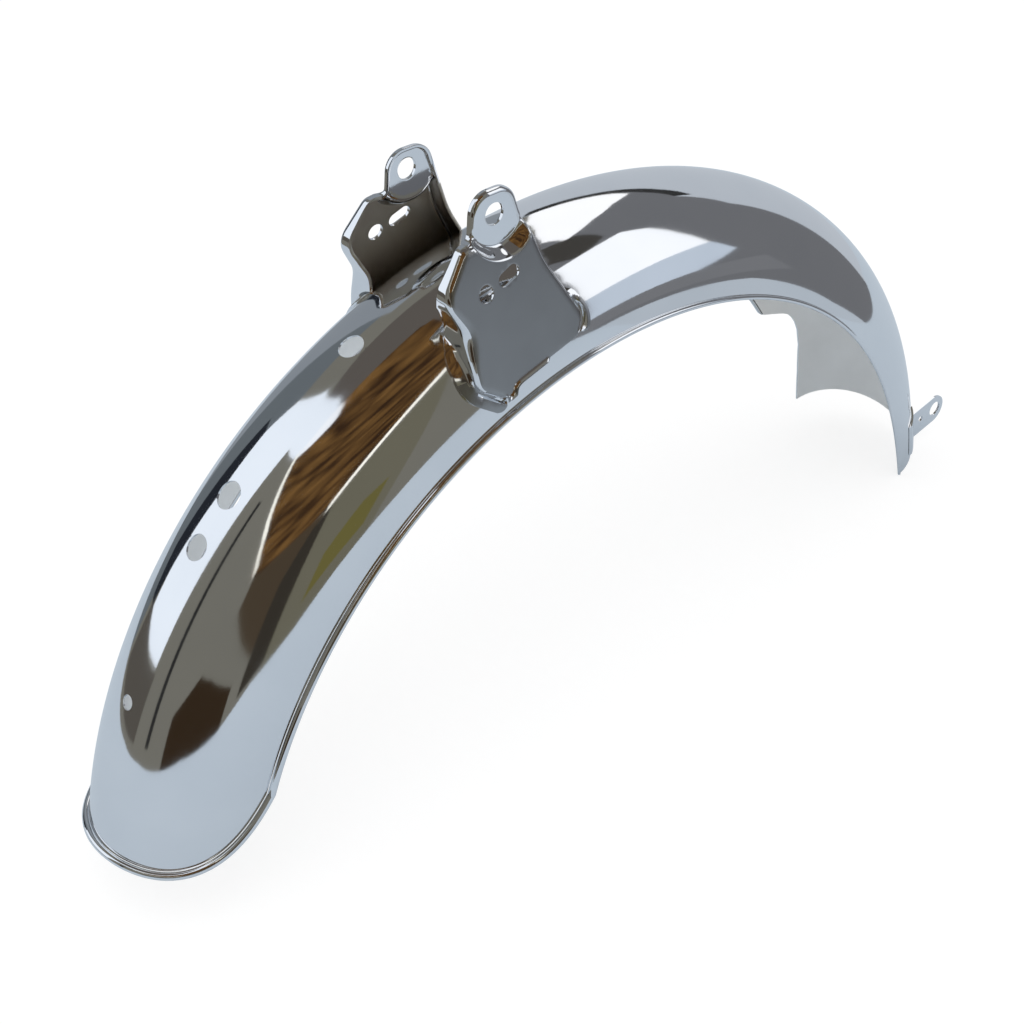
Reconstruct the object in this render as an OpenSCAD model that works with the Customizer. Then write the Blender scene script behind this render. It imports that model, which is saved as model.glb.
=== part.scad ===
// Chromed rear mudguard of a moped: one rolled-edge sheet-steel blade that covers
// about 160 degrees of a 17 inch wheel, two welded side brackets that carry the
// frame bolt, and a small welded lug at the front end.
// X is forward, Y is to the left, Z is up, millimetres. The origin is on the axis
// of the frame bolt, midway between the two bracket ears.

/* [Blade] */
// Radius of the crown line about the wheel centre
crown_r = 300; // [285:1:315]
// Rear end of the crown line, degrees up from straight behind the wheel
rear_angle = 12.6; // [8:0.2:18]
// Front end of the crown line, degrees from straight behind the wheel
front_angle = 170.6; // [166:0.2:174]
// How far the front cut is turned, degrees more on the right side than on the crown
front_skew = 2; // [0:0.5:4]
// Half width of the blade at its rear end
half_w_rear = 50; // [46:0.5:56]
// Half width of the blade at its front end
half_w_front = 43.2; // [40:0.2:48]
// Depth of the side walls at the rear end
depth_rear = 56.4; // [52:0.2:62]
// Depth of the side walls at the front end
depth_front = 41; // [36:0.5:48]
// How much wider than an even taper the blade stays before its front end
width_swell = 3.4; // [0:0.2:6]
// How much deeper than an even taper the sides stay before the front end
depth_swell = 8.5; // [0:0.1:12]
// Thickness of the blade sheet
sheet_t = 1; // [0.8:0.1:1.6]
// Radius of the rolled rim round the rear end
rim_r_rear = 2; // [1.4:0.1:2.6]
// Radius of the rolled rim where it runs out at the front end
rim_r_front = 0.9; // [0.8:0.1:1.6]
// Length of the rounding of each rear corner, along the side
corner_len = 68; // [40:1:80]
// Height of the rounding of each rear corner
corner_dep = 50; // [30:1:51]

/* [Crown holes] */
// Angle of the hole between the brackets and the lamp holes
bolt_hole_angle = 65; // [60:0.5:66]
// Radius of that hole
bolt_hole_r = 6.25; // [4:0.25:8]
// Angle of the upper lamp hole
lamp_hole_1_angle = 48.7; // [47:0.1:55]
// Radius of the upper lamp hole
lamp_hole_1_r = 6.75; // [4:0.25:8]
// Angle of the lower lamp hole
lamp_hole_2_angle = 43.5; // [36:0.1:44]
// Radius of the lower lamp hole
lamp_hole_2_r = 6.25; // [4:0.25:8]
// Angle of the small hole near the rear end
tail_hole_angle = 28.3; // [24:0.1:34]
// Radius of the small hole near the rear end
tail_hole_r = 3.6; // [2:0.1:5]

/* [Side notch] */
// Angle where the notch in the left wall begins
notch_angle = 147.5; // [143:0.5:149]
// How far the notch reaches up from the edge of the left wall
notch_rise = 19; // [10:0.5:20]

/* [Brackets] */
// Thickness of the bracket sheet
plate_t = 1.6; // [1.2:0.1:2.5]
// Half of the distance between the middles of the two ears
ear_half = 30.4; // [27:0.2:34]
// Height of the frame bolt above the wheel centre
bolt_z = 327.6; // [322:0.2:334]
// Distance of the frame bolt behind the wheel centre
bolt_back = 67.8; // [60:0.2:76]
// Radius of the frame bolt hole in each ear
ear_hole_r = 5.2; // [3:0.1:6.5]
// Radius of the rounded top of each ear
ear_r = 11; // [9:0.2:14]
// How far the middle of the ear's round top lies ahead of the frame bolt
ear_shift = -0.4; // [-1:0.1:1.4]
// Radius of the round step that sets the ear in
step_r = 16.7; // [15:0.1:19]
// Half width of the slope of that step
step_slope = 1.7; // [0.4:0.1:2.4]
// Distance of the step's centre ahead of the frame bolt
step_x = 1.6; // [-1:0.1:3]
// Height of the step's centre over the frame bolt
step_z = 0.2; // [-1:0.1:4]
// Half distance between the panels' outer faces, level with the side holes
panel_half = 40.1; // [38:0.1:43]
// Lean of each panel, millimetres outward for each millimetre down
panel_lean = 0.2; // [0.16:0.01:0.24]
// Outer radius of the bends round the panel
bend_r = 3.4; // [2.6:0.1:4.5]
// Half distance between the free edges of the flanges, level with the ear tops
flange_half = 27.6; // [25:0.1:29]
// Lean of the flanges' free edges, millimetres outward for each millimetre down
flange_lean = 0.03; // [0:0.01:0.1]
// How much shallower the rear flange is at its shoulder
shoulder_cut = 3; // [0:0.2:6]
// Width of the rear foot, which lies on the blade
foot_w_rear = 6.5; // [3:0.5:8]
// Width of the front foot
foot_w_front = 4; // [3:0.5:8]
// Gap of the weld seam under the feet
seat_gap = 0.2; // [0.15:0.05:0.4]
// Radius of the round side hole
side_hole_r = 4.1; // [2.5:0.1:5]
// Distance of the round side hole behind the frame bolt
side_hole_back = 13.3; // [10:0.1:16]
// Depth of the round side hole below the frame bolt
side_hole_drop = 30.4; // [27:0.1:34]
// Distance of the slotted side hole ahead of the frame bolt
slot_ahead = 0.4; // [-1:0.1:4]
// Depth of the slotted side hole below the frame bolt
slot_drop = 26.6; // [26:0.1:34]
// Length of the slotted side hole
slot_len = 12.4; // [9:0.1:15]
// Width of the slotted side hole
slot_w = 6.6; // [4:0.1:8]
// Tilt of the slotted side hole, degrees up toward the front
slot_tilt = 20; // [0:1:40]
// Radius of the relief notch at the low rear corner of the panel
relief_r = 2.4; // [1.5:0.1:3]

/* [Front lug] */
// Thickness of the lug sheet
lug_t = 1.2; // [1:0.1:2]
// Distance of the lug's ear to the right of the middle
lug_y = 30.5; // [24:0.5:33]
// How far the ear stands out from the blade
lug_reach = 33; // [26:0.5:38]
// Width of the ear
lug_w = 20; // [16:0.5:24]
// Width of the lug's base along the blade's section
lug_base = 10; // [6:0.5:12]
// Radius of the larger lug hole
lug_hole_r = 5; // [2:0.1:5.5]
// Distance of the larger lug hole from the blade
lug_hole_out = 24.5; // [22.5:0.5:25]
// Radius of the small lug hole
lug_pin_r = 2; // [1:0.1:2.4]
// Distance of the small lug hole from the blade
lug_pin_out = 10; // [9:0.1:12]

/* [Hidden] */
STEEL = [0.78, 0.79, 0.81];
STATIONS = 36;
COLUMNS = 22;
LOBE = 7;

// The wheel centre, seen from the origin on the frame bolt
hub = [bolt_back, 0, -bolt_z];

// Share of the way along the blade, 0 at the rear end and 1 at the front end
function way(th) = (th - rear_angle)/(front_angle - rear_angle);
function tip(k) = pow(max(0, (k - 0.7)/0.3), 2);
function half_w(k) = half_w_rear + (half_w_front + width_swell - half_w_rear)*k - width_swell*tip(k);
function depth(k) =
    depth_rear + (depth_front + depth_swell - depth_rear)*k - depth_swell*pow(tip(k), 2);

// The outward normal of the half-elliptical section, as [sideways, radial]
function sec_n(k, a) = let(v = [depth(k)*sin(a), half_w(k)*cos(a)]) v/norm(v);
// A point of the blade at angle th and section angle a, lifted by off from its skin
function skin(th, a, off) =
    let(k = way(th), n = sec_n(k, a))
    let(y = half_w(k)*sin(a) + off*n[0])
    let(r = crown_r - depth(k)*(1 - cos(a)) + off*n[1])
    hub + [-cos(th)*r, y, sin(th)*r];
function skin_n(th, a) = let(n = sec_n(way(th), a)) [-cos(th)*n[1], n[0], sin(th)*n[1]];

// The rim is rolled outward: its radius, and how far it reaches past the sheet
function rim_r(u) = rim_r_rear + (rim_r_front - rim_r_rear)*u;
function rim_over(u) = 2*rim_r(u);
function a_max(u) = acos(rim_over(u)/depth(u));
function spread(j) = sin(90*(2*j/COLUMNS - 1));

// Where each lengthwise line of the sheet begins and ends
function corner(a) =
    let(dd = depth_rear*(1 - cos(a)), up = depth_rear - corner_dep)
    let(c = min(1, max(0, dd - up)/corner_dep))
    corner_len*(1 - sqrt(1 - c*c))/(crown_r - dd)*180/PI;
function th_start(a) = rear_angle + rim_over(0)/crown_r*180/PI + corner(a);
function th_end(a) = front_angle - front_skew*sin(a);
function grid_a(i, j) = a_max(i/STATIONS)*spread(j);
function grid_th(i, j) =
    let(a0 = a_max(0)*spread(j), s = th_start(a0), e = th_end(a_max(1)*spread(j)))
    s + (e - s)*i/STATIONS;
function grid(i, j, off) = skin(grid_th(i, j), grid_a(i, j), off);

// The free edge: up the right side to the rear end, round it, and down the left side
EDGE = concat(
    [for (i = [STATIONS:-1:0]) [i, 0]],
    [for (j = [1:COLUMNS]) [0, j]],
    [for (i = [1:STATIONS]) [i, COLUMNS]]);
LAST = len(EDGE) - 1;
function edge_p(k) = grid(EDGE[k][0], EDGE[k][1], -sheet_t/2);
function edge_t(k) =
    let(v = edge_p(min(k + 1, LAST)) - edge_p(max(k - 1, 0))) v/norm(v);
function lobe(k) =
    let(i = EDGE[k][0], j = EDGE[k][1], r = rim_r(i/STATIONS))
    let(n = skin_n(grid_th(i, j), grid_a(i, j)), b0 = cross(n, edge_t(k)), b = b0/norm(b0))
    let(c = edge_p(k) + b*r + n*(r - sheet_t/2), f0 = 175 + asin(1 - sheet_t/r))
    [for (s = [0:LOBE - 1]) let(f = f0 - s*(f0 + 90)/(LOBE - 1)) c + r*(cos(f)*b + sin(f)*n)];

W = COLUMNS + 1;
IN = (STATIONS + 1)*W;
LB = 2*IN;
function oi(i, j) = i*W + j;
function chain(k, s) =
    let(e = oi(EDGE[k][0], EDGE[k][1]))
    s == 0 ? e : s == LOBE + 1 ? IN + e : LB + k*LOBE + s - 1;

sheet_points = concat(
    [for (i = [0:STATIONS]) for (j = [0:COLUMNS]) grid(i, j, 0)],
    [for (i = [0:STATIONS]) for (j = [0:COLUMNS]) grid(i, j, -sheet_t)],
    [for (k = [0:LAST]) each lobe(k)]);
sheet_faces = concat(
    [for (i = [0:STATIONS - 1]) for (j = [0:COLUMNS - 1])
        let(a = oi(i, j), b = oi(i, j + 1), c = oi(i + 1, j + 1), d = oi(i + 1, j))
        each [[a, b, c], [a, c, d], [IN + a, IN + c, IN + b], [IN + a, IN + d, IN + c]]],
    [for (j = [0:COLUMNS - 1])
        let(a = oi(STATIONS, j), b = oi(STATIONS, j + 1))
        each [[a, b, IN + b], [a, IN + b, IN + a]]],
    [for (k = [0:LAST - 1]) for (s = [0:LOBE])
        let(a = chain(k, s), b = chain(k, s + 1), c = chain(k + 1, s + 1), d = chain(k + 1, s))
        each [[a, b, c], [a, c, d]]],
    [for (s = [1:LOBE]) [chain(0, 0), chain(0, s + 1), chain(0, s)]],
    [for (s = [1:LOBE]) [chain(LAST, 0), chain(LAST, s), chain(LAST, s + 1)]]);

// A drill that stands square on the crown line
module crown_drill(th, r) {
    translate(hub) rotate([0, th - 90, 0])
        translate([0, 0, crown_r - 12]) cylinder(r = r, h = 24, $fn = 64);
}

// The notch follows the left wall's edge and ends at the front corner
function rim_at(th) = crown_r - depth(way(th));
function side_pt(th, r) = [-cos(th)*r, sin(th)*r];
notch_rim = rim_at(notch_angle);
notch_top = notch_rim + notch_rise;
module notch() {
    translate(hub) rotate([90, 0, 0]) mirror([0, 0, 1]) linear_extrude(half_w_rear + 10)
        polygon([
            side_pt(notch_angle - 1, notch_rim - 8),
            side_pt(notch_angle - 0.8, notch_rim - 0.6),
            side_pt(notch_angle, notch_rim + 0.1),
            side_pt(notch_angle + 0.7, notch_rim + 1),
            side_pt(notch_angle + 1.2, notch_rim + 2.6),
            side_pt(notch_angle + 4, notch_top - 4),
            side_pt(notch_angle + 4.7, notch_top - 1.8),
            side_pt(notch_angle + 5.6, notch_top - 0.4),
            side_pt(notch_angle + 6.8, notch_top + 0.5),
            side_pt(notch_angle + 8.4, notch_top + 0.6),
            side_pt(notch_angle + 11.3, notch_top - 1),
            side_pt(front_angle - 7, rim_at(front_angle) + 5),
            side_pt(front_angle - front_skew, rim_at(front_angle) + 1.9),
            side_pt(front_angle + 4, rim_at(front_angle) - 2),
            side_pt(front_angle + 4, rim_at(front_angle) - 20)]);
}

module blade() {
    color(STEEL) difference() {
        polyhedron(points = sheet_points, faces = sheet_faces, convexity = 8);
        crown_drill(bolt_hole_angle, bolt_hole_r);
        crown_drill(lamp_hole_1_angle, lamp_hole_1_r);
        crown_drill(lamp_hole_2_angle, lamp_hole_2_r);
        crown_drill(tail_hole_angle, tail_hole_r);
        notch();
    }
}

// A closed patch of plate between two heights over the blade's skin, used for feet
// and to trim what stands on the blade
module skin_patch(th0, th1, a0, a1, low, high, nt = 10, na = 12) {
    function p(i, j, off) = skin(th0 + (th1 - th0)*i/nt, a0 + (a1 - a0)*j/na, off);
    w = na + 1;
    half = (nt + 1)*w;
    polyhedron(
        points = concat(
            [for (i = [0:nt]) for (j = [0:na]) p(i, j, high)],
            [for (i = [0:nt]) for (j = [0:na]) p(i, j, low)]),
        faces = concat(
            [for (i = [0:nt - 1]) for (j = [0:na - 1])
                let(a = i*w + j, b = a + 1, c = a + w + 1, d = a + w)
                each [[a, b, c], [a, c, d], [half + a, half + c, half + b], [half + a, half + d, half + c]]],
            [for (j = [0:na - 1]) let(a = nt*w + j)
                each [[a, a + 1, half + a + 1], [a, half + a + 1, half + a]]],
            [for (j = [0:na - 1])
                each [[j, half + j + 1, j + 1], [j, half + j, half + j + 1]]],
            [for (i = [0:nt - 1]) let(a = i*w, d = a + w)
                each [[a, d, half + d], [a, half + d, half + a]]],
            [for (i = [0:nt - 1]) let(a = i*w + na, d = a + w)
                each [[a, half + d, d], [a, half + a, half + d]]]),
        convexity = 6);
}

// The bracket's outline seen from the side, as corners [x, z, radius] about the frame
// bolt; a negative radius is a hollow corner
foot_r = crown_r - 38;
function low_edge(x) = sqrt(foot_r*foot_r - (x - bolt_back)*(x - bolt_back)) - bolt_z;
CORNERS = [
    [ear_shift - ear_r, ear_r, 10.4],
    [ear_shift + ear_r, ear_r, 10.4],
    [22.5, -27, -60],
    [41.2, -60, 9],
    [35.5, low_edge(35.5), 5],
    [-5, low_edge(-5) - 0.5, 12],
    [-10.5, low_edge(-10.5) - 5, 2],
    [-25.5, -72.5, 9],
    [-25.8, -58, 12],
    [-24, -45, -9],
    [-34.6, -27.5, 6],
    [-21.5, -9, 4.5],
    [-13.6, -8.2, -3]];
N_C = len(CORNERS);
ARC = 6;
function xz(i) = [CORNERS[(i + N_C)%N_C][0], CORNERS[(i + N_C)%N_C][1]];
function unit(v) = v/norm(v);
// Corner i of the outline moved inward by e, the outline running clockwise
function moved(i, e) =
    let(u = unit(xz(i) - xz(i - 1)), v = unit(xz(i + 1) - xz(i)))
    let(nu = [u[1], -u[0]], nv = [v[1], -v[0]], m = nu + nv)
    xz(i) + e*m*2/(m*m);
// Corner i rounded into an arc of points
function rounded(i, e) =
    let(c = moved(i, e), u = unit(moved(i - 1, e) - c), v = unit(moved(i + 1, e) - c))
    let(rc = CORNERS[i][2], r = max(0.3, rc > 0 ? rc - e : e - rc))
    let(half = acos(u*v)/2, reach = r/tan(half), mid = c + unit(u + v)*r/sin(half))
    let(p0 = c + u*reach - mid, p1 = c + v*reach - mid)
    let(a0 = atan2(p0[1], p0[0]), da0 = atan2(p1[1], p1[0]) - a0)
    let(da = da0 > 180 ? da0 - 360 : da0 < -180 ? da0 + 360 : da0)
    [for (k = [0:ARC]) mid + r*[cos(a0 + da*k/ARC), sin(a0 + da*k/ARC)]];
function outline(e) = [for (i = [0:N_C - 1]) each rounded(i, e)];

// Depth of the panel's outer face, and of the flanges' free edges, at height z
side_z = -28.6;
function panel_y(z) = -(panel_half + panel_lean*(side_z - z));
function shoulder(x, z) = max(0, 1 - pow((z + 20)/15, 4))*min(1, max(0, (-14 - x)/4));
function free_y(x, z) = -(flange_half + flange_lean*(ear_r - z) + shoulder_cut*shoulder(x, z));

// A dished blank: the outline with its bends, e inside the outer skin
module dish(e, past) {
    b = bend_r - e;
    rings = [
        [e, 2],
        [e, b],
        [e + b*(1 - cos(30)), b*(1 - sin(30))],
        [e + b*(1 - cos(60)), b*(1 - sin(60))],
        [e + b, 0]];
    line = outline(0);
    n = len(line);
    pts = concat(
        [for (k = [0:4]) let(o = outline(rings[k][0])) for (q = [0:n - 1])
            [o[q][0],
             k == 0 ? free_y(line[q][0], line[q][1]) + past : panel_y(line[q][1]) + e + rings[k][1],
             o[q][1]]],
        [[2, free_y(2, -40) + past, -40], [2, panel_y(-40) + e, -40]]);
    polyhedron(
        points = pts,
        faces = concat(
            [for (k = [0:3]) for (q = [0:n - 1])
                let(a = k*n + q, b2 = k*n + (q + 1)%n, c = b2 + n, d = a + n)
                each [[a, b2, c], [a, c, d]]],
            [for (q = [0:n - 1]) [5*n, (q + 1)%n, q]],
            [for (q = [0:n - 1]) [5*n + 1, 4*n + q, 4*n + (q + 1)%n]]),
        convexity = 8);
}

// The round step that sets the ear in, cut down to depth y
module ear_pocket(e, y) {
    translate([step_x, -60, step_z]) rotate([-90, 0, 0])
        cylinder(r = step_r + e, h = 60 + y - 3, $fn = 96);
    translate([step_x, y - 7, step_z]) rotate([-90, 0, 0])
        cylinder(r1 = step_r + step_slope*2 + e, r2 = step_r - step_slope + e, h = 7, $fn = 96);
}

ear_out = -ear_half - plate_t/2;
lean_deg = atan(panel_lean);
// A drill square to the panel at [x, z]
module panel_drill(x, z) {
    translate([x, panel_y(z), z]) rotate([-lean_deg, 0, 0]) rotate([-90, 0, 0]) children();
}

// The band that becomes the feet, seen from the side
module foot_band() {
    rotate([90, 0, 0]) translate([0, 0, 30]) linear_extrude(24) difference() {
        union() {
            intersection() {
                polygon(outline(-foot_w_rear));
                translate([-60, -110]) square([60, 120]);
            }
            intersection() {
                polygon(outline(-foot_w_front));
                translate([-1, -110]) square([61, 120]);
            }
        }
        polygon(outline(plate_t));
        polygon([[-12.5, -70], [-14, -100], [50, -100], [37, -64.5]]);
        translate([-60, -34]) square([120, 80]);
    }
}

module bracket() {
    color(STEEL) difference() {
        union() {
            difference() {
                dish(0, 0);
                ear_pocket(0, ear_out);
                difference() {
                    dish(plate_t, 8);
                    ear_pocket(plate_t, ear_out + plate_t);
                }
            }
            intersection() {
                skin_patch(64, 92, -88, -30, -1.2, seat_gap + plate_t);
                foot_band();
            }
        }
        skin_patch(62, 94, -89.8, -4, -24, seat_gap);
        translate([0, -60, 0]) rotate([-90, 0, 0]) cylinder(r = ear_hole_r, h = 60, $fn = 64);
        panel_drill(-side_hole_back, -side_hole_drop) translate([0, 0, -6]) cylinder(r = side_hole_r, h = 12, $fn = 64);
        panel_drill(slot_ahead, -slot_drop) rotate([0, 0, -slot_tilt]) {
            for (s = [-1, 1]) translate([s*(slot_len - slot_w)/2, 0, -6])
                cylinder(d = slot_w, h = 12, $fn = 64);
            translate([-(slot_len - slot_w)/2, -slot_w/2, -6]) cube([slot_len - slot_w, slot_w, 12]);
        }
        translate([-10.5, -60, low_edge(-10.5) - 4]) rotate([-90, 0, 0])
            cylinder(r = relief_r, h = 30, $fn = 32);
    }
}
module bracket_right() { bracket(); }
module bracket_left() { mirror([0, 1, 0]) bracket(); }

// The lug: a base lying on the blade and an ear turned up square from it
lug_th = front_angle - 1;
// Where the ear's sheet meets the blade, from the wheel centre
lug_root = crown_r - depth_front*(1 - sqrt(1 - pow(lug_y/half_w_front, 2)));
lug_end = lug_root + lug_reach - lug_w/2;
module front_lug() {
    color(STEEL) difference() {
        union() {
            translate(hub) rotate([90, 0, 0]) rotate([0, 0, 180 - lug_th]) translate([0, 0, lug_y - lug_t])
                linear_extrude(lug_t) difference() {
                    union() {
                        translate([lug_root - 18, -lug_w/2]) square([lug_end - lug_root + 18, lug_w]);
                        translate([lug_end, 0]) circle(d = lug_w, $fn = 64);
                    }
                    translate([lug_root + lug_hole_out, 0]) circle(r = lug_hole_r, $fn = 64);
                    translate([lug_root + lug_pin_out, 1.2]) circle(r = lug_pin_r, $fn = 48);
                }
            intersection() {
                skin_patch(lug_th - 3.4, lug_th + 1.8, -75, -24, -1, seat_gap + lug_t, 6, 12);
                translate(hub) translate([crown_r - 100, -lug_y - lug_base, 0])
                    cube([110, lug_base + 1.2, 90]);
            }
        }
        skin_patch(lug_th - 6, lug_th + 6, -80, -10, -26, seat_gap, 8, 14);
    }
}

blade();
bracket_right();
bracket_left();
front_lug();
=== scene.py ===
# %% [markdown]
# # A chromed rear mudguard for a moped
# The real thing is pressed and rolled from thin steel sheet and then plated. The blade
# is one long curved shell with a rolled rim. Two dished side brackets and a small lug
# are fixed to it, most likely by welding. The blade and the lug follow the CAD model;
# the brackets follow it apart from their rear edge, bends and feet, which were refined
# against the photo. The shells get a smooth skin here, because chrome shows each facet.

# %% Load the CAD model as a fixed frame
import bpy
import math
from mathutils import Matrix, Vector
from mathutils.geometry import delaunay_2d_cdt


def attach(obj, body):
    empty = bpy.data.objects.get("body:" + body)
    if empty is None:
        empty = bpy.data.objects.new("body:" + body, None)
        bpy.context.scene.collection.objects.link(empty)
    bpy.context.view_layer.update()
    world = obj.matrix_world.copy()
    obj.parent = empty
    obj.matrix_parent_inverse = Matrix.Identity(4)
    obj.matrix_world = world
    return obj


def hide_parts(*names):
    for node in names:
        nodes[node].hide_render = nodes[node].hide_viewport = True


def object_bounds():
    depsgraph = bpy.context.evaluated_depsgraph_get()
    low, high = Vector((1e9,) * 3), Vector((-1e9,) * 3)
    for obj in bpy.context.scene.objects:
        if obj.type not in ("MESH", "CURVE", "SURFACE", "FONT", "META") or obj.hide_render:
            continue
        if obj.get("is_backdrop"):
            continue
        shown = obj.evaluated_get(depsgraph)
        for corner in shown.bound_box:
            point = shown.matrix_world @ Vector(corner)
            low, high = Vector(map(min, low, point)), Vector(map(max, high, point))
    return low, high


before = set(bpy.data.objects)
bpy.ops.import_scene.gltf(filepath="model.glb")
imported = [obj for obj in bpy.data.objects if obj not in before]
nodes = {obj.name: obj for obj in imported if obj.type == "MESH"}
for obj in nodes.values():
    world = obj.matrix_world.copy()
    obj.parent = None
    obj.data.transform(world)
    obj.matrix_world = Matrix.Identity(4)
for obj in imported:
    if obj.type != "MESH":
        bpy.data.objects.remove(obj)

cad_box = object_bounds()
print("nodes:", sorted(nodes))

# %% [markdown]
# ## Small helpers
# An operator works on whatever is selected, so each step first clears the selection
# and then picks one object. Modifiers are applied as soon as they are set, so that
# every piece ends as a plain mesh at the origin.

# %% Helpers for selecting, applying and mesh building
MM = 0.001


def only(*objects):
    bpy.ops.object.select_all(action="DESELECT")
    for ob in objects:
        ob.select_set(True)
    bpy.context.view_layer.objects.active = objects[0]


def modify(ob, kind, **settings):
    only(ob)
    mod = ob.modifiers.new(kind.lower(), kind)
    for key, value in settings.items():
        setattr(mod, key, value)
    bpy.ops.object.modifier_apply(modifier=mod.name)


def cut(ob, cutter, solver="EXACT"):
    modify(ob, "BOOLEAN", operation="DIFFERENCE", solver=solver, object=cutter)


def remove(*objects):
    for ob in objects:
        bpy.data.objects.remove(ob)


def triangles(ob):
    return sum(len(p.vertices) - 2 for p in ob.data.polygons)


def face_out(ob, away):
    """Turns the faces so that they point away from the function's point."""
    me = ob.data
    score = sum((p.center - away(p.center)).dot(p.normal) * p.area for p in me.polygons)
    if score < 0:
        only(ob)
        bpy.ops.object.mode_set(mode="EDIT")
        bpy.ops.mesh.select_all(action="SELECT")
        bpy.ops.mesh.flip_normals()
        bpy.ops.object.mode_set(mode="OBJECT")


def grid_by_law(name, across, along, law):
    """A grid primitive whose vertices are placed by law(u, v), with u and v from 0 to 1."""
    bpy.ops.object.select_all(action="DESELECT")
    bpy.ops.mesh.primitive_grid_add(x_subdivisions=across, y_subdivisions=along, size=1)
    ob = bpy.context.object
    ob.name = ob.data.name = name
    for v in ob.data.vertices:
        v.co = law(v.co.x + 0.5, v.co.y + 0.5)
    ob.data.update()
    return ob


# %% [markdown]
# ## The camera
# The camera stands about where the photographer stood: behind the part, on its right
# side and above it. Its place and lens were fitted to the rims, holes and corners seen
# in the photo, together with the part's own shape, so they depend on each other.

# %% Set up the camera
right = Vector((0.7517, -0.6595, -0.0152)).normalized()
back = Vector((-0.5153, -0.6014, 0.6106)).normalized()
up = back.cross(right).normalized()
right = up.cross(back).normalized()
camera_data = bpy.data.cameras.new("camera")
camera_data.lens = 55.16
camera_data.sensor_width = 36
camera_data.clip_start, camera_data.clip_end = 0.01, 60
camera = bpy.data.objects.new("camera", camera_data)
bpy.context.scene.collection.objects.link(camera)
turn = Matrix((right, up, back)).transposed()
camera.matrix_world = Matrix.Translation((-0.39419, -0.49908, 0.30985)) @ turn.to_4x4()
bpy.context.scene.camera = camera
print("camera at", [round(c, 3) for c in camera.location])

# %% [markdown]
# ## The chrome
# Bright chrome plate is a mirror with a slightly blue tint. It is never perfectly
# even: the steel below was polished on a wheel, so the gloss wanders a little over a
# few centimetres, and a fine grain is left. Noise in the roughness gives the first,
# and a very shallow bump gives the second. The bracket panels and the blade's inside
# look duller. The brackets carry the same plate, and their two extra finishes were
# matched to the look as painted light: a darker copy on the panels' outer faces is
# painted shade, and a brighter, warmer copy on their inner faces is painted light and
# a painted warm reflection. Whether the plate is duller there or the room is darker
# can't be told, so their finishes were matched to the look. The blade's inside is a
# rougher satin plate, and its colour is lifted above the chrome's as painted light on
# the shaded inside.


# %% Helper that starts a node material
def new_material(name):
    mat = bpy.data.materials.new(name)
    mat.use_nodes = True
    tree = mat.node_tree
    return mat, tree.nodes, tree.links, tree.nodes["Principled BSDF"]


def noise(nodes_, links_, scale, detail, vector):
    n = nodes_.new("ShaderNodeTexNoise")
    n.inputs["Scale"].default_value = scale
    n.inputs["Detail"].default_value = detail
    links_.new(vector, n.inputs["Vector"])
    return n.outputs["Fac"]


def remap(nodes_, links_, value, low, high):
    n = nodes_.new("ShaderNodeMapRange")
    n.inputs["From Min"].default_value = 0.3
    n.inputs["From Max"].default_value = 0.7
    n.inputs["To Min"].default_value = low
    n.inputs["To Max"].default_value = high
    links_.new(value, n.inputs["Value"])
    return n.outputs["Result"]


def plated(name, colour, dull_colour, rough_low, rough_high, bump):
    mat, nn, ll, bsdf = new_material(name)
    place = nn.new("ShaderNodeTexCoord").outputs["Object"]
    wide = noise(nn, ll, 22, 3, place)
    fine = noise(nn, ll, 900, 2, place)
    bsdf.inputs["Metallic"].default_value = 1.0
    mix = nn.new("ShaderNodeMix")
    mix.data_type = "RGBA"
    mix.inputs["A"].default_value = (*colour, 1)
    mix.inputs["B"].default_value = (*dull_colour, 1)
    ll.new(remap(nn, ll, wide, 0.0, 1.0), mix.inputs["Factor"])
    ll.new(mix.outputs["Result"], bsdf.inputs["Base Color"])
    ll.new(remap(nn, ll, wide, rough_low, rough_high), bsdf.inputs["Roughness"])
    b = nn.new("ShaderNodeBump")
    b.inputs["Strength"].default_value = bump
    b.inputs["Distance"].default_value = 0.0001
    ll.new(fine, b.inputs["Height"])
    ll.new(b.outputs["Normal"], bsdf.inputs["Normal"])
    return mat


chrome = plated("chrome", (0.80, 0.81, 0.83), (0.76, 0.775, 0.80), 0.04, 0.085, 0.03)
# A darker copy of the same chrome for the bracket panels' outer faces: painted shade.
painted_shade_plate = plated("chrome_painted_shade", (0.36, 0.363, 0.37), (0.31, 0.313, 0.32), 0.28, 0.36, 0.10)
# A brighter, warmer copy of the same chrome for the bracket panels' inner faces: painted light and a painted
# warm reflection.
soft = plated("chrome_painted_light", (0.80, 0.77, 0.70), (0.70, 0.67, 0.61), 0.38, 0.46, 0.08)
# The blade's inside: a rougher satin plate, which is real, with its colour lifted above the chrome's and a
# metallic of 0.6 letting a diffuse share catch the white room light; both are painted light on the shaded
# inside.
satin_and_painted_light = plated("satin_inside_and_painted_light", (0.92, 0.915, 0.90), (0.82, 0.815, 0.80), 0.30, 0.42, 0.12)
satin_and_painted_light.node_tree.nodes["Principled BSDF"].inputs["Metallic"].default_value = 0.6
print("materials:", chrome.name, painted_shade_plate.name, soft.name, satin_and_painted_light.name)

# %% [markdown]
# ## The blade's skin
# The blade was rolled to the wheel's radius from a half-elliptical section, wide and
# deep at the rear, narrower toward the front. A spin would give one section all the
# way, so a flat grid is used instead and each of its points is placed by the same
# rule as in the CAD model: an angle round the wheel and an angle round the section.

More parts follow.
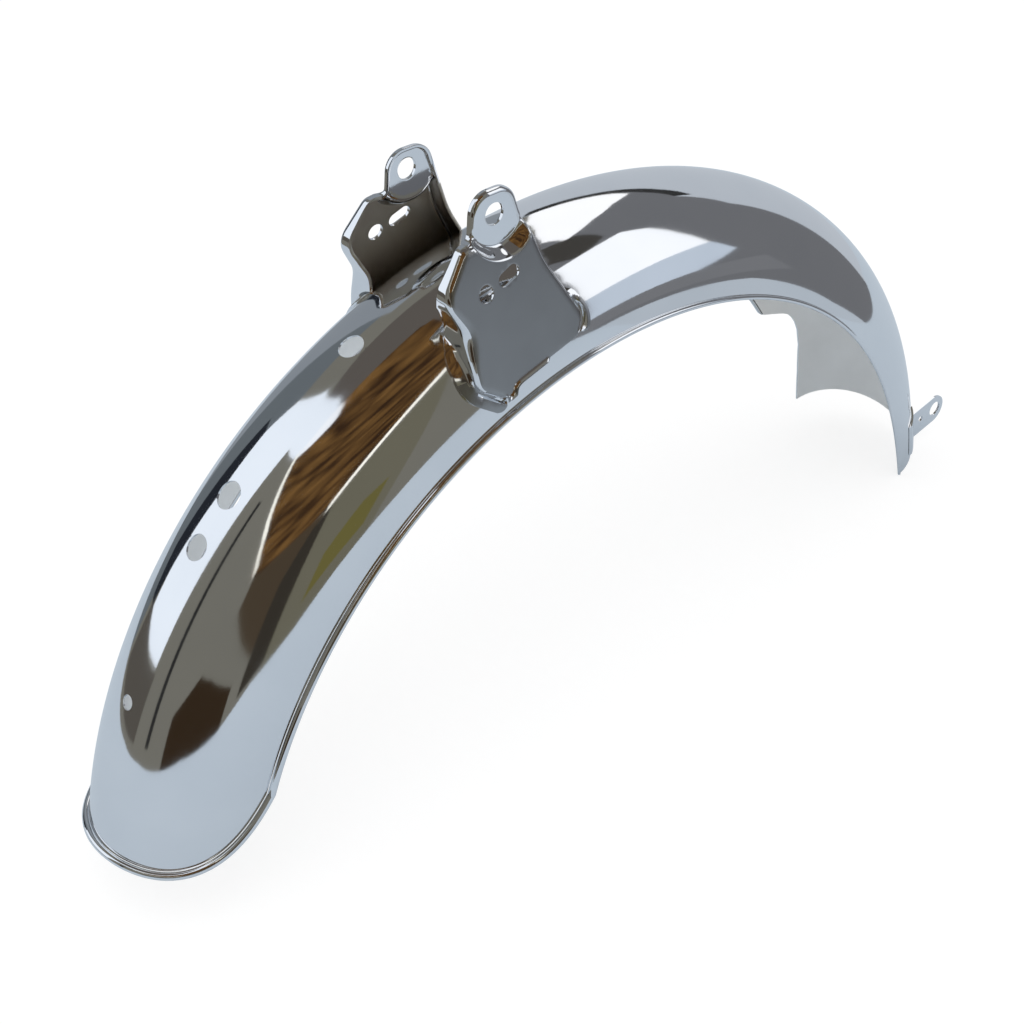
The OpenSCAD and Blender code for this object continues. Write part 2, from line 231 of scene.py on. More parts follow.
# %% Sizes of the blade, in millimetres
CROWN_R, HUB = 300.0, Vector((67.8, 0.0, -327.6))
REAR, FRONT, SKEW = 12.6, 170.6, 2.0
W_REAR, W_FRONT, W_SWELL = 50.0, 43.2, 3.4
D_REAR, D_FRONT, D_SWELL = 56.4, 41.0, 8.5
SHEET, RIM_REAR, RIM_FRONT = 1.0, 2.0, 0.9
CORNER_LEN, CORNER_DEP = 68.0, 50.0


def tip(k):
    return max(0.0, (k - 0.7) / 0.3) ** 2


def half_w(k):
    return W_REAR + (W_FRONT + W_SWELL - W_REAR) * k - W_SWELL * tip(k)


def depth(k):
    return D_REAR + (D_FRONT + D_SWELL - D_REAR) * k - D_SWELL * tip(k) ** 2


def way(th):
    return (th - REAR) / (FRONT - REAR)


def section_normal(k, a):
    n = Vector((depth(k) * math.sin(a), half_w(k) * math.cos(a)))
    return n / n.length


def skin(th, a, off=0.0):
    """Point of the blade at angle th (degrees) and section angle a (radians)."""
    k, t = way(th), math.radians(th)
    n = section_normal(k, a)
    y = half_w(k) * math.sin(a) + off * n[0]
    r = CROWN_R - depth(k) * (1 - math.cos(a)) + off * n[1]
    return HUB + Vector((-math.cos(t) * r, y, math.sin(t) * r))


def skin_normal(th, a):
    t, n = math.radians(th), section_normal(way(th), a)
    return Vector((-math.cos(t) * n[1], n[0], math.sin(t) * n[1]))


# %% Where the sheet begins and ends along each line
def rim_r(u):
    return RIM_REAR + (RIM_FRONT - RIM_REAR) * u


def a_max(u):
    return math.acos(2 * rim_r(u) / depth(u))


def corner(a):
    dd = D_REAR * (1 - math.cos(a))
    c = min(1.0, max(0.0, dd - (D_REAR - CORNER_DEP)) / CORNER_DEP)
    return math.degrees(CORNER_LEN * (1 - math.sqrt(1 - c * c)) / (CROWN_R - dd))


def grid_angles(u, v):
    s = math.sin(math.pi / 2 * (2 * v - 1))
    a0, a1 = a_max(0) * s, a_max(1) * s
    start = REAR + math.degrees(2 * rim_r(0) / CROWN_R) + corner(a0)
    end = FRONT - SKEW * math.sin(a1)
    return start + (end - start) * u, a_max(u) * s


def on_blade(u, v, off=0.0):
    th, a = grid_angles(u, v)
    return skin(th, a, off) * MM


# %% Make the sheet and give it its thickness
sheet = grid_by_law("blade_skin", 80, 44, on_blade)
face_out(sheet, lambda c: Vector((c.x, 0, c.z)) * 0.5 + HUB * MM * 0.5)
modify(sheet, "SUBSURF", levels=1, render_levels=1)
sheet.data.materials.append(chrome)
# The inside skin takes the second material: the rougher satin plate with its lifted colour, painted light on
# the shaded inside.
sheet.data.materials.append(satin_and_painted_light)
modify(sheet, "SOLIDIFY", thickness=SHEET * MM, offset=-1, material_offset=1, material_offset_rim=0)
print("sheet:", triangles(sheet), "triangles")

# %% [markdown]
# ## The rolled rim
# The raw edge of the sheet is curled outward into a bead, which stiffens it and makes
# it safe to touch. On the finished part only the round bead shows, so a round wire
# that follows the edge, thinner toward the front, is the simplest true shape.

# %% Make the bead along the free edge
N_SIDE, N_END = 150, 90
edge = [(1 - i / N_SIDE, 0.0) for i in range(N_SIDE + 1)]
edge += [(0.0, j / N_END) for j in range(1, N_END)]
edge += [(i / N_SIDE, 1.0) for i in range(N_SIDE + 1)]
middle = [on_blade(u, v, -SHEET / 2) for u, v in edge]
curve = bpy.data.curves.new("rim", "CURVE")
curve.dimensions = "3D"
curve.bevel_depth = 1.0 * MM
curve.bevel_resolution = 4
curve.use_fill_caps = True
line = curve.splines.new("POLY")
line.points.add(len(edge) - 1)
for i, (u, v) in enumerate(edge):
    along = middle[min(i + 1, len(edge) - 1)] - middle[max(i - 1, 0)]
    n = skin_normal(*grid_angles(u, v))
    out = n.cross(along).normalized()
    r = rim_r(u)
    place = middle[i] + (out * r + n * (r - SHEET / 2)) * MM
    line.points[i].co = (*place, 1)
    line.points[i].radius = r
rim = bpy.data.objects.new("rim", curve)
bpy.context.scene.collection.objects.link(rim)
only(rim)
bpy.ops.object.convert(target="MESH")
rim = bpy.context.object
rim.data.materials.clear()
rim.data.materials.append(chrome)
print("rim:", triangles(rim), "triangles")

# %% [markdown]
# ## Holes and the notch
# The holes along the crown are punched square to the sheet, probably for a frame bolt,
# the tail lamp and a small screw. The left wall is cut back at the front end. Each one
# is a solid that is subtracted, as a punch would do.


# %% Punch the crown holes
def drill(name, middle_mm, axis, radius, length, sides=72):
    bpy.ops.object.select_all(action="DESELECT")
    turned = Vector(axis).to_track_quat("Z", "Y").to_euler()
    bpy.ops.mesh.primitive_cylinder_add(
        vertices=sides, radius=radius * MM, depth=length * MM,
        location=Vector(middle_mm) * MM, rotation=turned)
    ob = bpy.context.object
    ob.name = name
    bpy.ops.object.transform_apply(location=True, rotation=True, scale=True)
    return ob


for th, radius in ((65.0, 6.25), (48.7, 6.75), (43.5, 6.25), (28.3, 3.6)):
    tool = drill("punch", skin(th, 0), skin_normal(th, 0), radius, 24)
    cut(sheet, tool)
    remove(tool)
print("after the holes:", triangles(sheet), "triangles")

# %% Cut the notch in the left wall
NOTCH, RISE = 147.5, 19.0


def rim_at(th):
    return CROWN_R - depth(way(th))


low, top, end = rim_at(NOTCH), rim_at(NOTCH) + RISE, rim_at(FRONT)
outline_notch = [
    (NOTCH - 1, low - 8), (NOTCH - 0.8, low - 0.6), (NOTCH, low + 0.1), (NOTCH + 0.7, low + 1),
    (NOTCH + 1.2, low + 2.6), (NOTCH + 4, top - 4), (NOTCH + 4.7, top - 1.8),
    (NOTCH + 5.6, top - 0.4), (NOTCH + 6.8, top + 0.5), (NOTCH + 8.4, top + 0.6),
    (NOTCH + 11.3, top - 1), (FRONT - 7, end + 5), (FRONT - SKEW, end + 1.9),
    (FRONT + 4, end - 2), (FRONT + 4, end - 20)]
bpy.ops.object.select_all(action="DESELECT")
bpy.ops.mesh.primitive_circle_add(vertices=len(outline_notch), radius=1, fill_type="NGON")
tool = bpy.context.object
for v, (th, r) in zip(tool.data.vertices, outline_notch):
    t = math.radians(th)
    v.co = (HUB + Vector((-math.cos(t) * r, 5, math.sin(t) * r))) * MM
bpy.ops.object.mode_set(mode="EDIT")
bpy.ops.mesh.select_all(action="SELECT")
bpy.ops.mesh.extrude_region_move(TRANSFORM_OT_translate={"value": (0, 70 * MM, 0)})
bpy.ops.mesh.select_all(action="SELECT")
bpy.ops.mesh.normals_make_consistent(inside=False)
bpy.ops.object.mode_set(mode="OBJECT")
cut(sheet, tool)
cut(rim, tool)
remove(tool)
print("after the notch:", triangles(sheet), triangles(rim))

# %% Join the sheet and the rim into the blade
only(sheet, rim)
bpy.ops.object.join()
blade = sheet
blade.name = blade.data.name = "blade_pressing"
only(blade)
bpy.ops.object.shade_smooth_by_angle(angle=math.radians(32))
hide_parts("blade")
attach(blade, "root")
print("blade:", triangles(blade), "triangles")

# %% [markdown]
# ## The side brackets
# Each bracket is one blank, dished in a press: a flat panel, a soft bend all round, and
# a flange that runs in to the blade, where it flares into a foot that lies on it.
# A round step sets the ear in. Rings that follow the outline make the bends; the panel
# is filled with a fine net of triangles, so that the step and the holes stay crisp.
# The outline starts from the CAD's and departs from it where the photo asked for it:
# softer rear corner and waist, a waist further back and a slightly deeper flange there,
# a bend that varies, and a rear foot that widens gradually.

# %% Outline of the blank, seen from the side, in millimetres about the frame bolt
EAR_R, EAR_SHIFT, PLATE, BEND = 11.0, -0.4, 1.6, 3.4
STEP = (1.6, 0.2, 16.7, 1.7)
PANEL_HALF, LEAN, SIDE_Z, EAR_OUT = 40.1, 0.2, -28.6, 31.2
FOOT_R = CROWN_R - 38
FREE_HALF, FREE_SLOPE, FOOT_REAR, FOOT_FRONT = 27.6, 0.03, 6.5, 4.0


def low_edge(x):
    return math.sqrt(FOOT_R ** 2 - (x - HUB.x) ** 2) + HUB.z


CORNERS = [
    (EAR_SHIFT - EAR_R, EAR_R, 10.4), (EAR_SHIFT + EAR_R, EAR_R, 10.4), (22.5, -27, -60),
    (41.2, -60, 9), (35.5, low_edge(35.5), 5), (-5, low_edge(-5) - 0.5, 12),
    (-10.5, low_edge(-10.5) - 5, 2), (-25.5, -72.5, 9), (-26.8, -58, 12), (-27.5, -45, -15),
    (-35.9, -27.3, 12), (-21.5, -9, 6), (-13.6, -8.2, -3)]


def rounded_outline(arc=12):
    """The outline with its corners rounded: points, the inward unit normals, and how tight."""
    pts = [Vector(c[:2]) for c in CORNERS]
    out = []
    for i, (p, c) in enumerate(zip(pts, CORNERS)):
        u = (pts[i - 1] - p).normalized()
        v = (pts[(i + 1) % len(pts)] - p).normalized()
        half = math.acos(max(-1, min(1, u.dot(v)))) / 2
        r = abs(c[2])
        centre = p + (u + v).normalized() * r / math.sin(half)
        a = p + u * r / math.tan(half) - centre
        b = p + v * r / math.tan(half) - centre
        a0, da = math.atan2(a.y, a.x), math.atan2(b.y, b.x) - math.atan2(a.y, a.x)
        da = (da + math.pi) % (2 * math.pi) - math.pi
        steps = max(4, int(arc * abs(da) * 0.9))
        for s in range(steps + 1):
            f = a0 + da * s / steps
            way_in = -Vector((math.cos(f), math.sin(f))) * (1 if c[2] > 0 else -1)
            out.append((centre + r * Vector((math.cos(f), math.sin(f))), way_in, c[2]))
    return out


def filled(line, gap=1.6):
    """Adds points on the straight runs, so that no two are more than gap apart."""
    out = []
    for i, (p, n, r) in enumerate(line):
        q, m, _ = line[(i + 1) % len(line)]
        out.append((p, n, r))
        count = int((q - p).length / gap)
        for s in range(1, count + 1):
            t = s / (count + 1)
            out.append((p.lerp(q, t), n.lerp(m, t).normalized(), 999))
    return out


LINE = filled(rounded_outline())
print("outline points:", len(LINE))


# %% How deep the panel lies, and where the flange meets the blade
def smooth(t):
    t = min(1.0, max(0.0, t))
    return t * t * (3 - 2 * t)


def panel_depth(x, z):
    panel = PANEL_HALF + LEAN * (SIDE_Z - z)
    d = math.hypot(x - STEP[0], z - STEP[1])
    t = (d - (STEP[2] - STEP[3])) / (3 * STEP[3])
    return EAR_OUT + (panel - EAR_OUT) * smooth(t)


def free_depth(x, z):
    rear = min(1, max(0, (-14 - x) / 4))
    shoulder = max(0, 1 - ((z + 20) / 15) ** 4) * rear
    waist = smooth((-36 - z) / 8) * rear
    return FREE_HALF + FREE_SLOPE * (EAR_R - z) + 3 * shoulder - 2 * waist


def blade_side(x, z):
    """Half width of the blade at this place, or 0 where it is above the crown."""
    dx, dz = x - HUB.x, z - HUB.z
    rho, th = math.hypot(dx, dz), math.degrees(math.atan2(dz, -dx))
    k = way(th)
    c = 1 - (CROWN_R - rho) / depth(k)
    return half_w(k) * math.sqrt(max(0.0, 1 - c * c)) if rho < CROWN_R else 0.0


def foot_width(x, z):
    meets = smooth((blade_side(x, z) - free_depth(x, z) + 3) / 4)
    rear = smooth((-9.5 - x) / 3) * smooth((-48 - z) / 14) * FOOT_REAR
    front = smooth((x - 33) / 3) * smooth((z + 68) / 5) * FOOT_FRONT
    return meets * (rear + front)


def bend_r(x, z):
    """The bend is tight round the ear, wide at the waist, and dies out along the low edge."""
    low = smooth((x + 8) / 4) * smooth((38 - x) / 4) * smooth((-62 - z) / 3)
    waist = smooth((-10 - x) / 6) * smooth(1 - abs(z + 47) / 18)
    return BEND - 1.2 * smooth((z + 9) / 5) - 2.6 * low + 2.6 * waist


# %% Make one bracket
def ring_depths():
    """Rings from the foot's edge, up the flange and round the bend to the panel."""
    rings = [[] for _ in range(5 + 4 + 7)]
    gap = 0.2
    for p, n, r in LINE:
        w = foot_width(*p)
        rf = min(2.0, 0.5 * w)
        t = PLATE * 1.15 * smooth(w / 3)
        b = bend_r(*p)
        start = panel_depth(*p) - b
        end = min(start - 0.1, max(free_depth(*p), blade_side(*p) + gap + t + rf))
        column = []
        for o, lift in [(w, 0.0)] + [
                (rf * (1 - math.sin(f)), rf * (1 - math.cos(f)))
                for f in (0, math.pi / 6, math.pi / 3, math.pi / 2)]:
            q = p - n * o
            y = blade_side(*q) + gap + t + lift
            highest = end if lift else end + 9
            column.append((q, end if w < 0.01 else max(end - 1.2 * o, min(y, highest))))
        for s in (0.25, 0.5, 0.75, 0.92):
            column.append((p, end + (start - end) * s))
        for s in range(7):
            f = math.pi / 2 * s / 6
            e = b * (1 - math.cos(f))
            q = p + n * (min(e, 0.92 * r) if 0 < r < 900 else e)
            column.append((q, panel_depth(*q) - b * (1 - math.sin(f))))
        for ring, item in zip(rings, column):
            ring.append(item)
    return rings


def loop(cx, cz, r, sides=48):
    return [Vector((cx + r * math.cos(2 * math.pi * i / sides),
                    cz + r * math.sin(2 * math.pi * i / sides))) for i in range(sides)]


def slot_loop(cx, cz, length, width, tilt, sides=20):
    pts, half, r = [], (length - width) / 2, width / 2
    for s, a0 in ((1, -90), (-1, 90)):
        for i in range(sides + 1):
            f = math.radians(a0 + 180 * i / sides)
            pts.append(Vector((s * half + r * math.cos(f), r * math.sin(f))))
    turn_by = Matrix.Rotation(math.radians(tilt), 2)
    return [turn_by @ p + Vector((cx, cz)) for p in pts]


HOLES = [loop(0, 0, 5.2), loop(-13.3, -30.4, 4.1, 40), slot_loop(0.4, -26.6, 12.4, 6.6, 20)]


def inside(p, poly):
    hit = False
    for i, a in enumerate(poly):
        b = poly[i - 1]
        if (a.y > p.y) != (b.y > p.y) and p.x < (b.x - a.x) * (p.y - a.y) / (b.y - a.y) + a.x:
            hit = not hit
    return hit


def near(p, poly):
    return min((p - q).length for q in poly)


def panel_net(edge_points):
    """Triangles of the flat panel and the step, with the holes left open."""
    pts, links = [], []
    for line_ in [edge_points] + HOLES:
        start = len(pts)
        pts += line_
        links += [(start + i, start + (i + 1) % len(line_)) for i in range(len(line_))]
    extra = []
    for k in range(11):
        r = STEP[2] - STEP[3] - 0.4 + (3 * STEP[3] + 0.8) * k / 10
        extra += [Vector((STEP[0], STEP[1])) + Vector((p.x, p.y)) for p in loop(0, 0, r, 120)]
    for h in HOLES:
        mid = sum(h, Vector((0, 0))) / len(h)
        for grow in (0.7, 1.5):
            extra += [p + (p - mid).normalized() * grow for p in h]
    for i in range(-30, 36):
        for j in range(-70, 12):
            p = Vector((i * 1.3 + (0.65 if j % 2 else 0), j * 1.3))
            d = math.hypot(p.x - STEP[0], p.y - STEP[1])
            if not STEP[2] - STEP[3] - 1 < d < STEP[2] + 2 * STEP[3] + 1:
                if min(near(p, h) for h in HOLES) > 2.0:
                    extra.append(p)
    kept = [p for p in extra if inside(p, edge_points) and near(p, edge_points) > 0.7
            and all(not inside(p, h) and near(p, h) > 0.4 for h in HOLES)]
    verts, _, faces, _, _, _ = delaunay_2d_cdt(pts + kept, links, [], 0, 1e-5)
    good = []
    for f in faces:
        c = sum((verts[i] for i in f), Vector((0, 0))) / len(f)
        if inside(c, edge_points) and not any(inside(c, h) for h in HOLES):
            good.append(f)
    return verts, good


def make_bracket(name, side):
    rings = ring_depths()
    count = len(LINE)
    points = [(q.x, -y, q.y) for ring in rings for q, y in ring]
    faces = []
    for a in range(len(rings) - 1):
        for i in range(count):
            j = (i + 1) % count
            faces.append((a * count + i, a * count + j, (a + 1) * count + j, (a + 1) * count + i))
    inner = [q for q, _ in rings[-1]]
    verts, net = panel_net(inner)
    base = len(points)
    points += [(v.x, -panel_depth(v.x, v.y), v.y) for v in verts]
    faces += [tuple(base + i for i in f) for f in net]
    mesh = bpy.data.meshes.new(name)
    mesh.from_pydata([(x * MM, y * side * MM, z * MM) for x, y, z in points], [], faces)
    ob = bpy.data.objects.new(name, mesh)
    bpy.context.scene.collection.objects.link(ob)
    only(ob)
    bpy.ops.object.mode_set(mode="EDIT")
    bpy.ops.mesh.select_all(action="SELECT")
    bpy.ops.mesh.remove_doubles(threshold=0.02 * MM)
    bpy.ops.mesh.normals_make_consistent(inside=False)
    bpy.ops.object.mode_set(mode="OBJECT")
    face_out(ob, lambda c: Vector((c.x, 0, c.z)))
    modify(ob, "SOLIDIFY", thickness=PLATE * MM, offset=-1, use_even_offset=False)
    tool = drill("relief", (-10.5, -45 * side, low_edge(-10.5) - 4), (0, 1, 0), 2.4, 30, 40)
    cut(ob, tool, "FAST")
    remove(tool)
    modify(ob, "BEVEL", width=0.22 * MM, segments=2, limit_method="ANGLE",
           angle_limit=math.radians(55), use_clamp_overlap=True)
    ob.data.materials.append(chrome)
    # Slot 1 is the darker copy of the plate, painted shade on the panels' outer faces.
    ob.data.materials.append(painted_shade_plate)
    # Slot 2 is the brighter, warmer copy of the plate, painted light and a painted warm reflection on the
    # panels' inner faces.
    ob.data.materials.append(soft)
    # Panel faces outside the ear's step get the painted light: outward faces the darker copy (painted shade),
    # inward faces the brighter, warmer copy (painted light).
    for f in ob.data.polygons:
        x, z = f.center.x / MM, f.center.z / MM
        if abs(f.normal.y) > 0.85 and math.hypot(x - STEP[0], z - STEP[1]) > STEP[2] + 3:
            f.material_index = 1 if f.normal.y * side < 0 else 2
    only(ob)
    bpy.ops.object.shade_smooth_by_angle(angle=math.radians(40))
    print(name, triangles(ob), "triangles")
    return ob


for name, node, side in (("bracket_right_pressing", "bracket_right", 1),
                         ("bracket_left_pressing", "bracket_left", -1)):
    piece = make_bracket(name, side)
    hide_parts(node)
    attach(piece, "root")

# %% [markdown]
# ## The front lug
# The lug is a plain bent tab with two holes. The CAD shape looks close to the photo at
# this size, so it is kept and only gets the chrome.

# %% Give the lug its finish
lug = nodes["front_lug"]
lug.data.materials.clear()
lug.data.materials.append(chrome)
print("lug finish:", lug.data.materials[0].name)

# %% [markdown]
# ## The floor
# Chrome has no colour of its own: it shows the room. So the room matters as much as the
# part. The part stands on a pale floor, which the camera sees as white with a soft
# shadow. The mirror sees a sheet of pale blue-grey paper under the part instead.


# %% Make the floor and the paper
def glow(name, colour):
    mat = bpy.data.materials.new(name)
    mat.use_nodes = True
    tree = mat.node_tree
    tree.nodes.clear()
    out = tree.nodes.new("ShaderNodeOutputMaterial")
    e = tree.nodes.new("ShaderNodeEmission")
    e.inputs["Color"].default_value = (*colour, 1)
    tree.links.new(e.outputs["Emission"], out.inputs["Surface"])
    mat.cycles.emission_sampling = "NONE"
    return mat


FLOOR_Z = -0.2946
bpy.ops.object.select_all(action="DESELECT")
bpy.ops.mesh.primitive_plane_add(size=24, location=(0, 0, FLOOR_Z - 0.0004))
floor = bpy.context.object
floor.name = "floor"
floor_mat, nn, ll, bsdf = new_material("floor_white")
bsdf.inputs["Base Color"].default_value = (0.95, 0.955, 0.96, 1)
bsdf.inputs["Roughness"].default_value = 0.9
bsdf.inputs["Specular IOR Level"].default_value = 0.0
seen_white = nn.new("ShaderNodeEmission")
camera_ray = nn.new("ShaderNodeLightPath").outputs["Is Camera Ray"]
fade, share = nn.new("ShaderNodeMixShader"), nn.new("ShaderNodeMath")
share.operation = "MULTIPLY"
share.inputs[1].default_value = 0.72
ll.new(camera_ray, share.inputs[0])
ll.new(share.outputs["Value"], fade.inputs["Fac"])
ll.new(bsdf.outputs["BSDF"], fade.inputs[1])
ll.new(seen_white.outputs["Emission"], fade.inputs[2])
floor_out = next(n for n in nn if n.type == "OUTPUT_MATERIAL")
ll.new(fade.outputs["Shader"], floor_out.inputs["Surface"])
seen_white.inputs["Strength"].default_value = 1.06
floor_mat.cycles.emission_sampling = "NONE"
floor.data.materials.append(floor_mat)
floor.visible_glossy = False
floor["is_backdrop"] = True

PAPER = [
    (-0.62, 0.26), (-0.74, 0.08), (-0.69, -0.32), (-0.49, -0.46), (-0.43, -0.70), (-0.22, -0.72),
    (-0.07, -0.91), (0.15, -1.06), (0.55, -1.5), (0.9, -1.5), (0.62, -0.8), (0.40, -0.40),
    (0.46, -0.22), (0.60, -0.16), (1.0, 0.0), (1.0, 0.7), (0.2, 0.8), (-0.2, 0.6), (-0.42, 0.36)]
bpy.ops.object.select_all(action="DESELECT")
bpy.ops.mesh.primitive_circle_add(vertices=len(PAPER), radius=1, fill_type="NGON")
paper = bpy.context.object
paper.name = "paper"
for v, (x, y) in zip(paper.data.vertices, PAPER):
    v.co = (x, y, FLOOR_Z)
paper_mat, nn, ll, bsdf = new_material("paper_blue_grey")
bsdf.inputs["Base Color"].default_value = (0.55, 0.62, 0.69, 1)
bsdf.inputs["Roughness"].default_value = 0.9
bsdf.inputs["Specular IOR Level"].default_value = 0.0
paper.data.materials.append(paper_mat)
paper.visible_camera = paper.visible_diffuse = paper.visible_shadow = False
paper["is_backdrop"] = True

# %% [markdown]
# ## The room that the chrome shows
# A photographer shapes metal with cards: white sheets for the highlights and dark or
# wooden boards for the depth between them. Each card is a patch of a big sphere round
# the part, given by its bearing and by its lowest and highest angle. Only reflections
# see the cards, so they neither light the floor nor get in the camera's way. Their
# places and colours were read off the reflections in the photo, by tracing its lines
# of sight off the blade, so they suit that view best.


# %% Helper that makes one card
CHROME_SHINE = 0.8
CARDS = []


def seen(r, g, b):
    """A card's glow, so that it looks like this colour (0 to 255) in the chrome."""
    return tuple(((c / 255 + 0.055) / 1.055) ** 2.4 / CHROME_SHINE for c in (r, g, b))


CENTRE = Vector((0.0678, 0.08, -0.1))


def card(name, distance, stations, colour=None, mat=None):
    def law(u, v):
        s = u * (len(stations) - 1)
        i = min(int(s), len(stations) - 2)
        t = s - i
        az, lo, hi = (stations[i][c] + (stations[i + 1][c] - stations[i][c]) * t for c in range(3))
        a, e = math.radians(az), math.radians(lo + (hi - lo) * v)
        return CENTRE + distance * Vector((
            math.cos(a) * math.cos(e), math.sin(a) * math.cos(e), math.sin(e)))
    ob = grid_by_law(name, 8 * (len(stations) - 1), 16, law)
    ob.data.materials.append(mat or glow(name, seen(*colour)))
    ob.visible_camera = ob.visible_diffuse = ob.visible_shadow = False
    ob.visible_transmission = ob.visible_volume_scatter = False
    ob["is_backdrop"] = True
    CARDS.append(name)


# %% The walls
card("wall_round", 11.0, [(180 - 45 * i, -89, 62) for i in range(9)], (110, 108, 100))
card("ceiling", 11.0, [(180 - 45 * i, 60, 90) for i in range(9)], (86, 81, 76))
card("wall_front_grey", 9.7, [(30, 25, 62), (2, -24, 64), (-20, -24, 64), (-45, -24, 55), (-66, -24, 30)],
     (104, 105, 108))
card("wall_front_pale", 9.6, [(57, -60, 34), (30, -60, 32), (8, -60, 31), (-1, -60, 20)],
     (176, 182, 189))
card("wall_front_dark", 9.5, [(-10, 56, 64), (-24, 47, 62), (-40, 46, 56)], (62, 60, 57))
card("wall_low_pale", 9.6, [(-1, -60, -24), (-30, -60, -22), (-38, -60, -15), (-62, -60, -11)],
     (172, 180, 188))
card("wall_left", 9.7, [(112, -16, 40), (100, -18, 42), (88, -20, 44)], (96, 102, 106))
card("wall_left_pale", 9.7, [(88, -20, 50), (72, -22, 50), (57, -22, 45)], (128, 134, 140))

# %% The white light, the two windows and their dark frames
card("light_above", 9.3, [(51, 33, 35), (47.5, 33.5, 45), (38, 33.7, 53), (30, 33.8, 57.5), (24, 34.5, 60),
                          (17.5, 42.5, 61.5), (5, 51, 63), (-11, 57.5, 58.5)], (255, 255, 255))
card("light_edge", 9.2, [(53, 28, 33), (40, 30, 33.5), (30, 30, 33.5), (20, 29.5, 33), (8, 27, 31)],
     (48, 48, 48))
card("window_right", 9.3, [(-23.8, 36, 43), (-28.8, 25, 44.5), (-33.8, 8, 46), (-42.5, -2.5, 48),
                           (-47.5, -2.5, 49), (-53.8, -2.5, 38), (-57, -2, 20)], (250, 252, 255))
card("window_right_low", 9.2, [(-32, 5, 13), (-42.5, -2.5, 14), (-57, -2.5, 14)], (186, 196, 208))
card("sill_right", 9.25, [(-30, -10, -2), (-45, -11, -2.5), (-58, -10, -2.5)], (112, 113, 116))
card("window_left", 9.3, [(182, 54, 67), (171, 53.5, 67.5), (159.5, 53, 66.5), (159, 6.2, 66), (150, 4.5, 64),
                          (130, 0, 58), (120, -3.8, 48), (113, 8, 40), (111, 15, 28)], (230, 237, 245))
card("window_left_back", 9.3, [(-178, 54, 67.5), (-170, 57, 67), (-162, 62, 64)], (240, 243, 247))
card("sill_left", 9.25, [(161, -8, 5.5), (145, -10, 2.5), (130, -12, 0), (116, -14, -4)],
     (80, 76, 70))
card("post_left", 9.1, [(117, -5, 18), (111, -8, 27), (104, -6, 22)], (34, 37, 43))
card("post_back", 9.1, [(178, -6, 44), (174.5, -6, 44)], (38, 38, 38))

# %% The wooden ceiling with its bright edges, and small dark things along the back
wood = glow("wood", seen(88, 62, 40))
tree = wood.node_tree
place = tree.nodes.new("ShaderNodeTexCoord").outputs["Object"]
stretch = tree.nodes.new("ShaderNodeMapping")
stretch.inputs["Scale"].default_value = (0.5, 0.5, 3.5)
stretch.inputs["Rotation"].default_value = (0.3, 0.5, 0.0)
grain = tree.nodes.new("ShaderNodeTexNoise")
grain.inputs["Scale"].default_value = 0.9
grain.inputs["Detail"].default_value = 5
ramp = tree.nodes.new("ShaderNodeValToRGB")
ramp.color_ramp.elements[0].position, ramp.color_ramp.elements[1].position = 0.35, 0.68
ramp.color_ramp.elements[0].color = (*seen(48, 33, 22), 1)
ramp.color_ramp.elements[1].color = (*seen(112, 82, 46), 1)
tree.links.new(place, stretch.inputs["Vector"])
tree.links.new(stretch.outputs["Vector"], grain.inputs["Vector"])
tree.links.new(grain.outputs["Fac"], ramp.inputs["Fac"])
emitter = next(n for n in tree.nodes if n.type == "EMISSION")
tree.links.new(ramp.outputs["Color"], emitter.inputs["Color"])
card("wood_ceiling", 9.5, [(-80, 46, 88), (-86, 40, 88), (-98, 31, 88), (-111, 23, 88), (-144, 24, 88),
                           (-152, 34, 88), (-165, 44, 88), (-176, 53, 88)], mat=wood)
card("edge_light_front", 9.3, [(-85, 39, 42), (-98, 30.5, 33.2), (-112, 21.5, 24)], (255, 252, 240))
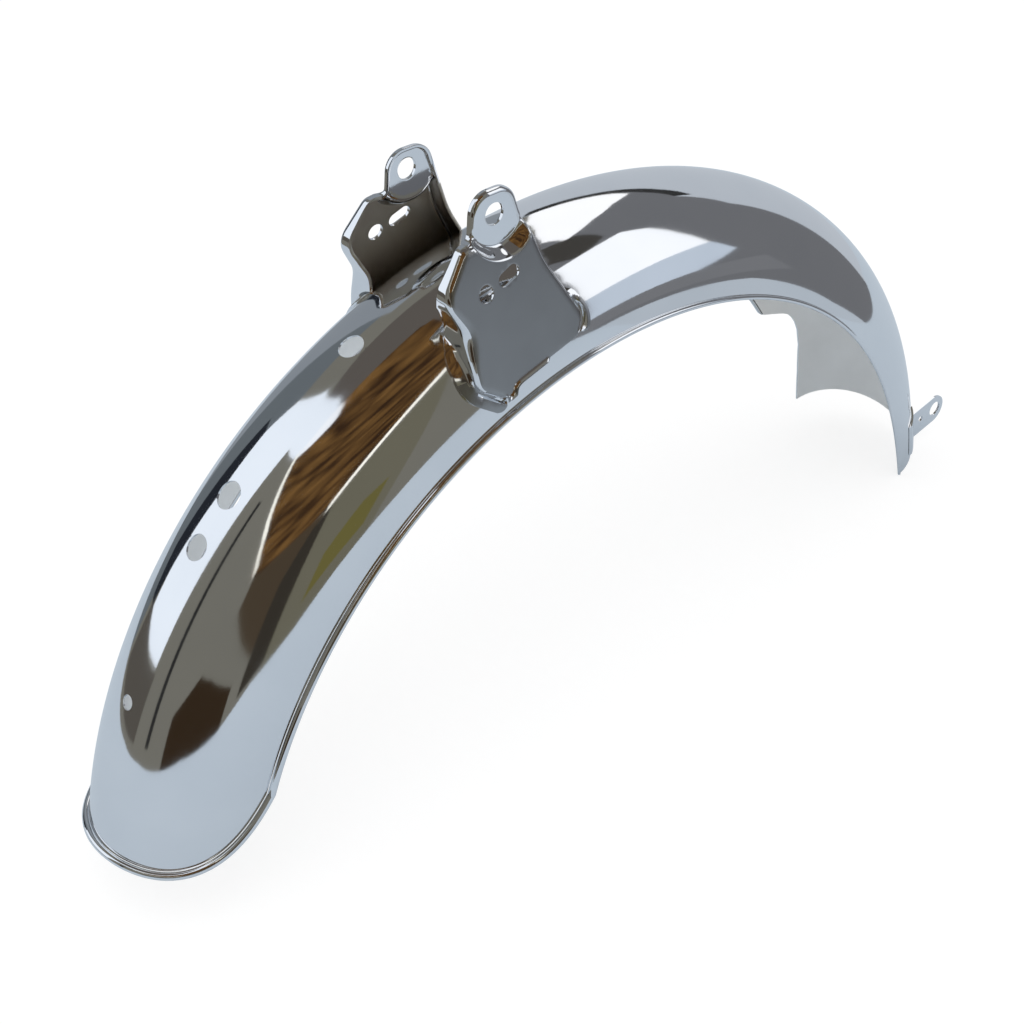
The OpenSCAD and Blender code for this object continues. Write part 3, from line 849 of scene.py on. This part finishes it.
card("edge_light_back", 9.3, [(-143, 24, 26.5), (-152, 34, 36.5), (-165, 44, 46.5), (-180, 54, 56)],
     (250, 248, 236))
card("stand_dark", 9.1, [(-110, -9, 22.5), (-115, -9, 20), (-120, -9, 12)], (50, 46, 40))
card("stand_brown", 9.15, [(-112, 0, 22.5), (-120, -2, 23.5), (-130, 6, 24.2), (-142, 17, 24)],
     (68, 58, 46))
card("wall_near", 9.4, [(-84, -14, 38), (-96, -14, 30), (-110, -14, 22)], (101, 98, 84))
card("box_gold", 9.1, [(-88, -5, 5), (-94, -5, 7), (-101, -6, 3)], (98, 92, 52))
card("box_brown", 9.1, [(-126, -14, -4), (-143, -13, 4), (-152, -12, 7), (-166, -11, 1)],
     (48, 37, 26))
print("cards:", len(CARDS))

# %% [markdown]
# ## Light
# The sky of the room is an even white, so that a colour shows as it is written. One
# big soft lamp adds a little direction to the shadow on the floor.

# %% World and lamp
world = bpy.data.worlds.new("room")
bpy.context.scene.world = world
world.use_nodes = True
world.node_tree.nodes["Background"].inputs["Color"].default_value = (1, 1, 1, 1)
sky = world.node_tree.nodes["Background"]
path = world.node_tree.nodes.new("ShaderNodeLightPath")
level = world.node_tree.nodes.new("ShaderNodeMapRange")
level.inputs["To Min"].default_value, level.inputs["To Max"].default_value = 0.9, 1.0
world.node_tree.links.new(path.outputs["Is Camera Ray"], level.inputs["Value"])
world.node_tree.links.new(level.outputs["Result"], sky.inputs["Strength"])
lamp_data = bpy.data.lights.new("soft_lamp", "AREA")
lamp_data.energy, lamp_data.size = 9, 1.6
lamp = bpy.data.objects.new("soft_lamp", lamp_data)
bpy.context.scene.collection.objects.link(lamp)
lamp.location = (-0.6, -0.4, 1.9)
lamp.rotation_euler = (Vector((0.07, 0, -0.2)) - lamp.location).to_track_quat("-Z", "Y").to_euler()
lamp.visible_glossy = False
bpy.context.scene.view_settings.view_transform = "Standard"

# %% Print the bounds of the CAD model and of the made pieces
made_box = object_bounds()
for label, box in (("cad", cad_box), ("visual", made_box)):
    print(label, [[round(x, 4) for x in c] for c in box])
